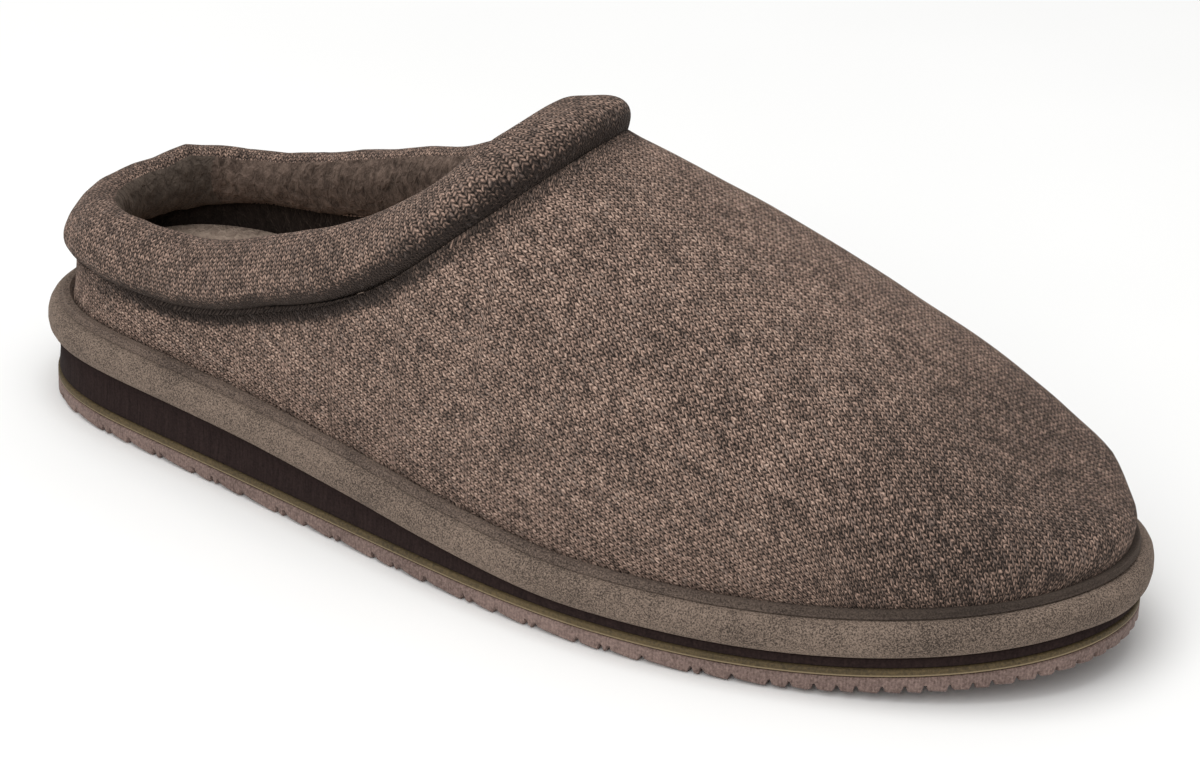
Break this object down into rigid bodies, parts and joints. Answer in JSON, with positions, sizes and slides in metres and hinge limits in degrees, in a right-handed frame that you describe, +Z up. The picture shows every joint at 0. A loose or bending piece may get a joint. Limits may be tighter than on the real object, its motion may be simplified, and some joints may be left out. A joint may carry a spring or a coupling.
{
  "type": "scuff slipper",
  "caption": "Right backed scuff slipper: knitted upper, padded roll collar, suede-covered platform on a foam wedge and a lugged rubber sole.",
  "frame": {"origin": "middle of the bounding box seen from above, at the floor under the lugs", "axes": "+X to the toe, +Y to the medial side (the wearer's left), +Z up"},
  "size_m": [0.3048, 0.1177, 0.1067],
  "materials": {
    "rubber": "matte mauve-brown moulded rubber",
    "rim_rubber": "matte olive-brown rubber layer",
    "foam": "matte dark brown foam",
    "suede": "brushed suede",
    "strip_suede": "brushed suede",
    "knit": "heathered wool knit",
    "collar_knit": "heathered wool knit over padding",
    "fleece": "short fleece"
  },
  "bodies": {
    "root": {"outsole": "rubber", "outsole_rim": "rim_rubber", "midsole": "foam", "platform": "suede", "welt_strip": "strip_suede", "upper": "knit", "collar": "collar_knit", "insole": "fleece"}
  },
  "joints": []
}
